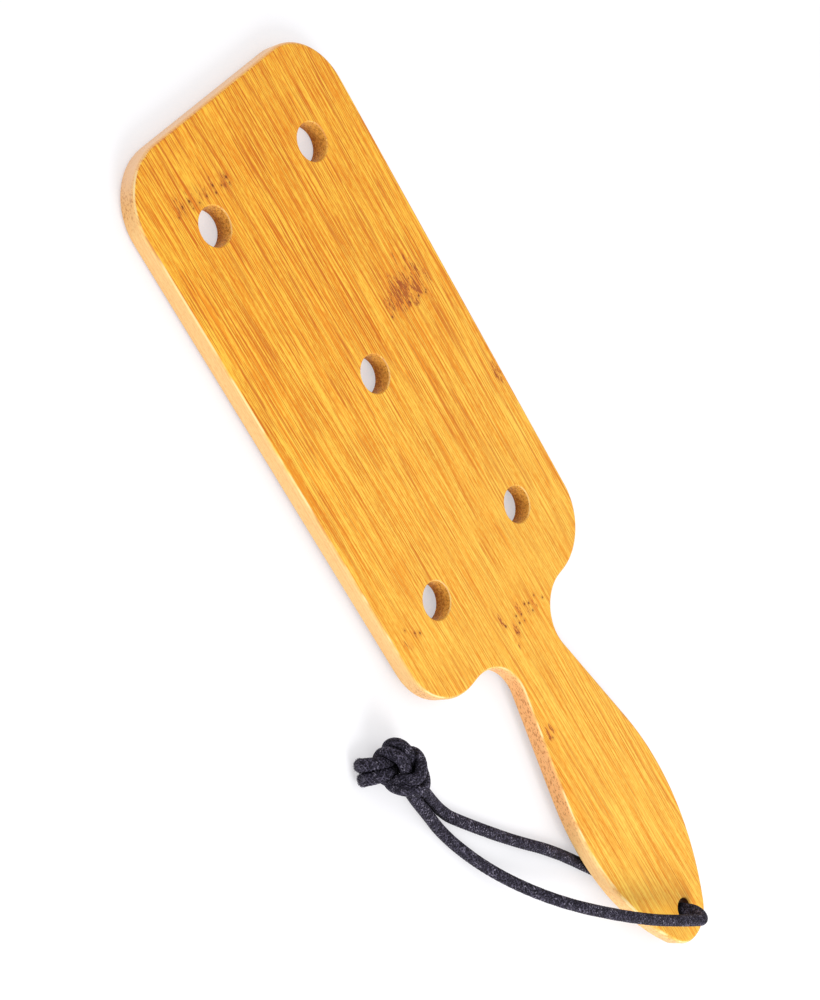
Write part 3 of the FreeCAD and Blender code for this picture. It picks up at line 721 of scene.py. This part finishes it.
def waxed_cord():
    """Black plaited cotton with wax: bluish black with pale flecks on the crowns, and painted shade
    in the plait's hollows and the knot's crevices.
    """
    material = bpy.data.materials.new("waxed_cord")
    nodes = Nodes(material)
    coordinates = nodes.add("ShaderNodeTexCoord")
    place = nodes.stretched(coordinates.outputs["Object"], IN_MM)
    along = nodes.add("ShaderNodeSeparateXYZ", Vector=coordinates.outputs["UV"])
    turn = nodes.maths("MULTIPLY", along.outputs["X"], math.pi * STRANDS)
    rise = nodes.maths("MULTIPLY", along.outputs["Y"], math.pi * STRANDS / PLAIT_PITCH)
    one = nodes.maths("ABSOLUTE", nodes.maths("SINE", nodes.maths("ADD", turn, rise)))
    other = nodes.maths("ABSOLUTE", nodes.maths("SINE", nodes.maths("SUBTRACT", turn, rise)))
    crown = nodes.maths("MAXIMUM", one, other)

    # Yarns lean both ways along the plait, and the upper one of two shows
    across = nodes.maths("MULTIPLY", along.outputs["X"], CORD_GIRTH)
    lengthways = nodes.maths("MULTIPLY", along.outputs["Y"], 1 / MM)
    leaning = nodes.add("ShaderNodeCombineXYZ", X=nodes.maths("ADD", across, lengthways),
                        Y=nodes.maths("SUBTRACT", across, lengthways)).outputs[0]
    yarn_one = nodes.noise(nodes.stretched(leaning, (1.5, 0.45, 1.0)), 2.0, 0.7)
    yarn_other = nodes.noise(nodes.stretched(leaning, (0.45, 1.5, 1.0), (40, 7, 0)), 2.0, 0.7)
    upper = nodes.ramp(nodes.maths("SUBTRACT", one, other), -0.1, 0.1)
    yarn = nodes.maths("ADD", nodes.maths("MULTIPLY", upper, yarn_one),
                       nodes.maths("MULTIPLY", nodes.maths("SUBTRACT", 1.0, upper), yarn_other))

    patches = nodes.noise(nodes.stretched(place, (0.35, 0.35, 0.35)), 2.0)
    # Painted shade: the plait's hollows are darker than its crowns
    colour = nodes.mix(nodes.ramp(crown, 0.60, 0.95), CORD_GROOVE_SHADE, CORD_CROWN)
    colour = nodes.mix(nodes.ramp(yarn, 0.50, 0.61, 0.0, 0.80), colour, YARN_LIGHT)
    colour = nodes.mix(nodes.ramp(yarn, 0.48, 0.38, 0.0, 0.8), colour, YARN_DARK)
    fleck = nodes.noise(nodes.stretched(place, (2.0, 2.0, 2.0), (9, 4, 2)), 2.0)
    fleck = nodes.maths("MULTIPLY", nodes.ramp(fleck, 0.58, 0.64), nodes.ramp(patches, 0.48, 0.60))
    colour = nodes.mix(nodes.maths("MULTIPLY", fleck, 0.62), colour, WAX_FLECK)
    # Painted shade: the colour is pulled towards near black in crevices, where other cord is close
    hollow = nodes.add("ShaderNodeAmbientOcclusion", {"samples": 16}, Distance=CREVICE_WIDTH)
    shade = nodes.ramp(hollow.outputs["AO"], 0.15, 0.95, 0.96, 0.0)
    colour = nodes.mix(shade, colour, CREVICE)
    nodes.set(nodes.shader.inputs["Base Color"], colour)
    nodes.set(nodes.shader.inputs["Roughness"], nodes.ramp(yarn, 0.3, 0.7, 0.50, 0.75))
    nodes.shader.inputs["Specular IOR Level"].default_value = 0.14
    height = nodes.maths("ADD", nodes.maths("MULTIPLY", crown, 0.8), yarn)
    nodes.surface_bump(height, 0.28 * MM, 0.9)
    return material


def frayed_cotton():
    """The fuzzy grey cotton of the cord's cut ends."""
    material = bpy.data.materials.new("frayed_cotton")
    nodes = Nodes(material)
    coordinates = nodes.add("ShaderNodeTexCoord")
    place = nodes.stretched(coordinates.outputs["Object"], IN_MM)
    strand = nodes.noise(nodes.stretched(place, (3.0, 3.0, 3.0)), 2.0, 0.7)
    colour = nodes.mix(nodes.ramp(strand, 0.40, 0.62), FRAY_DARK, FRAY_LIGHT)
    nodes.set(nodes.shader.inputs["Base Color"], colour)
    nodes.shader.inputs["Roughness"].default_value = 0.85
    nodes.shader.inputs["Specular IOR Level"].default_value = 0.1
    return material


# Near its cut end the cord loosens by a share of its radius, and at the very end it is rounded off
LOOSE_SHARE = 0.12
LOOSE_FROM_END = 9 * MM
LOOSENS_OVER = 5 * MM
ROUNDED_SHARE = 0.36
ROUNDED_END = 1.0 * MM


def add_cord(name, leg, strand, fray_seed, nodes_replaced, materials):
    """One leg of the cord from the hole, through the knot to its cut tail."""
    line = centreline(name, leg + strand)
    total = np.linalg.norm(np.diff(line, axis=0), axis=1).sum()

    def radius(lengths):
        """The cord's radius at lengths along it."""
        loose = np.clip((lengths - (total - LOOSE_FROM_END)) / LOOSENS_OVER, 0, 1)
        rounded = np.clip((lengths - (total - ROUNDED_END)) / ROUNDED_END, 0, 1)
        return CORD_DIAMETER / 2 * (1 + LOOSE_SHARE * loose - ROUNDED_SHARE * rounded ** 2)

    cotton, loose_cotton = materials
    piece, length = cord_mesh(name, line, radius)
    piece.data.materials.append(cotton)
    fray = add_fray(f"{name}_fray", line, loose_cotton, fray_seed)
    for thing in (piece, fray):
        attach(thing, "wrist_loop")
    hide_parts(*nodes_replaced)


FIBRES = 420
# Share of the fibres that are longer, and how much longer
LONG_SHARE = 0.008
LONGER = 1.3
# Share of a fibre's length, and its width there
FIBRE_RINGS = [(0.0, 1.0), (0.6, 0.8), (1.0, 0.3)]
FIBRE_SIDES = 3


def add_fray(name, line, material, seed):
    """Short loose fibres round the cut end of a tail, as thin three-sided needles."""
    rng = random.Random(seed)
    tangents, sides, others = turned_frames(line)
    end, out, side, other = (Vector(values[-1]) for values in (line, tangents, sides, others))
    vertices = []
    faces = []
    for _ in range(FIBRES):
        angle = rng.uniform(0, 2 * math.pi)
        spread = math.sqrt(rng.random())
        ray = side * math.cos(angle) + other * math.sin(angle)
        root = end - out * (0.2 + 1.4 * spread ** 3) * MM + ray * spread * CORD_DIAMETER * 0.54
        lean = ray * rng.uniform(-0.1, 0.25 + 0.5 * spread) + out + other * rng.uniform(-0.3, 0.3)
        reach = rng.uniform(0.5, 1.1) * (1 if rng.random() > LONG_SHARE else LONGER) * MM
        thick = rng.uniform(0.07, 0.13) * MM
        bend = side * rng.uniform(-0.25, 0.25) * MM
        first = len(vertices)
        for share, width in FIBRE_RINGS:
            middle = root + lean.normalized() * reach * share + bend * share * share
            for corner in range(FIBRE_SIDES):
                turn = 2 * math.pi * corner / FIBRE_SIDES
                spoke = side * math.cos(turn) + other * math.sin(turn)
                vertices.append(middle + spoke * thick * width)
        for ring in range(len(FIBRE_RINGS) - 1):
            base = first + FIBRE_SIDES * ring
            for corner in range(FIBRE_SIDES):
                after = (corner + 1) % FIBRE_SIDES
                faces.append((base + corner, base + after,
                              base + FIBRE_SIDES + after, base + FIBRE_SIDES + corner))
        faces.append(tuple(range(len(vertices) - FIBRE_SIDES, len(vertices))))
    mesh = bpy.data.meshes.new(name)
    on_table = [(x, y, max(z, LOWEST)) for x, y, z in vertices]
    mesh.from_pydata(on_table, [], faces)
    mesh.materials.append(material)
    piece = bpy.data.objects.new(name, mesh)
    bpy.context.scene.collection.objects.link(piece)
    return piece


def add_cords():
    """The two legs of the one cord, each up to its own tail."""
    materials = waxed_cord(), frayed_cotton()
    add_cord("cord_over", OVER_HANDLE, INNER_STRAND, 5, ("cord_over_handle", "knot_inner_strand"),
             materials)
    add_cord("cord_under", UNDER_HANDLE, OUTER_STRAND, 8, ("cord_under_handle", "knot_outer_strand"),
             materials)


add_camera()
add_floor()
light_the_stage()
add_cords()
dress_staves()

bpy.context.scene.view_settings.view_transform = "Standard"
bpy.context.view_layer.update()
